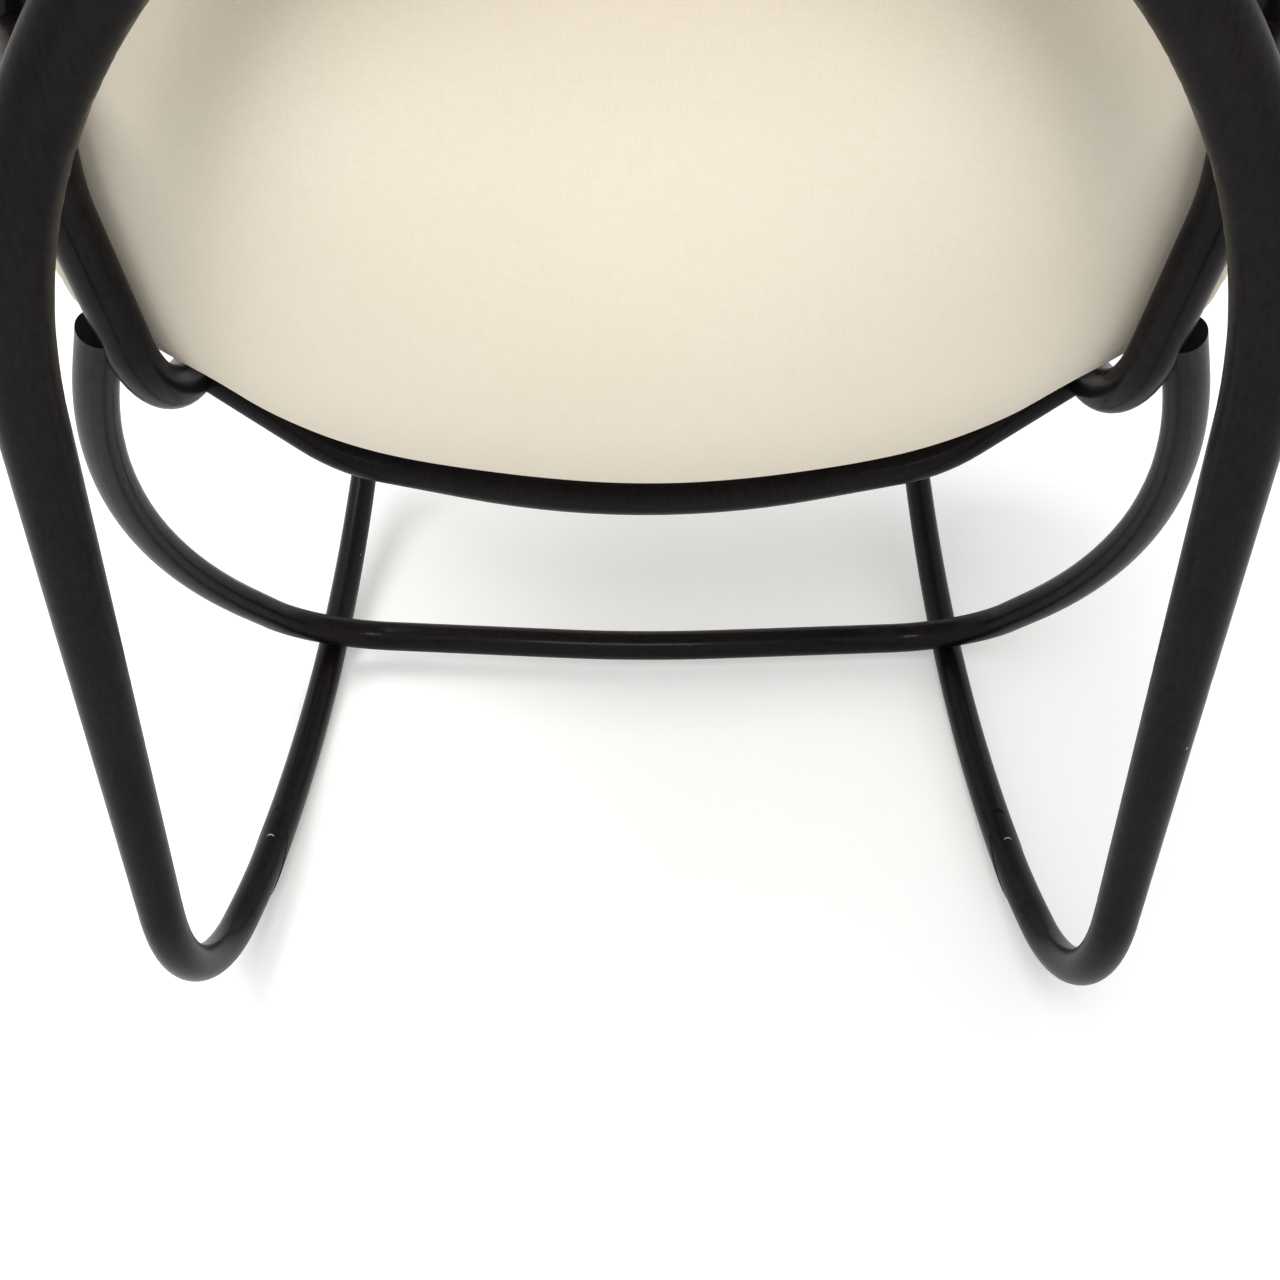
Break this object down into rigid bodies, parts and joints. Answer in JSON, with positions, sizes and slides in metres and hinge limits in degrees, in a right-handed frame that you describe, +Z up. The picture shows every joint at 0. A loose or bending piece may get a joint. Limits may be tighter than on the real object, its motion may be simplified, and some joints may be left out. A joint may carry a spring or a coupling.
{
  "type": "rocking lounge chair",
  "caption": "Low rocking lounge chair with dark bent-wood runners, a rear arch and hoop, and a dished one-piece seat and back in pale woven canvas.",
  "frame": {"origin": "on the floor, midway between the two points where the runners touch it at rest", "axes": "+Z up, -Y the way the sitter faces, +X the sitter's left"},
  "size_m": [0.7274, 0.7736, 0.9482],
  "materials": {
    "dark_wood": "near-black brown lacquer, semi-gloss",
    "pale_wood": "bare beech",
    "plywood": "moulded plywood, unfinished",
    "foam": "open-cell foam",
    "canvas": "cream finely woven canvas",
    "steel": "zinc plated steel",
    "brass": "turned brass"
  },
  "bodies": {
    "root": {"rear_arch": "dark_wood", "left_runner": "dark_wood", "right_runner": "dark_wood", "left_seat_rod": "dark_wood", "right_seat_rod": "dark_wood", "top_hoop": "dark_wood", "rear_rail": "dark_wood", "front_rail": "dark_wood", "rear_hoop": "dark_wood", "back_spacers": "dark_wood", "runner_plugs": "dark_wood", "hoop_plugs": "dark_wood", "rail_dowels": "pale_wood", "top_dowels": "pale_wood", "scarf_pins": "pale_wood", "seat_shell": "plywood", "seat_foam": "foam", "back_foam": "foam", "rear_cover": "canvas", "front_cover": "canvas", "cover_ends": "canvas", "leg_bolts": "steel", "leg_washers": "steel", "leg_nuts": "steel", "spacer_bolts": "steel", "arch_inserts": "brass", "hoop_screws": "steel", "runner_screws": "steel", "shell_screws": "steel", "shell_tee_nuts": "steel"}
  },
  "joints": []
}
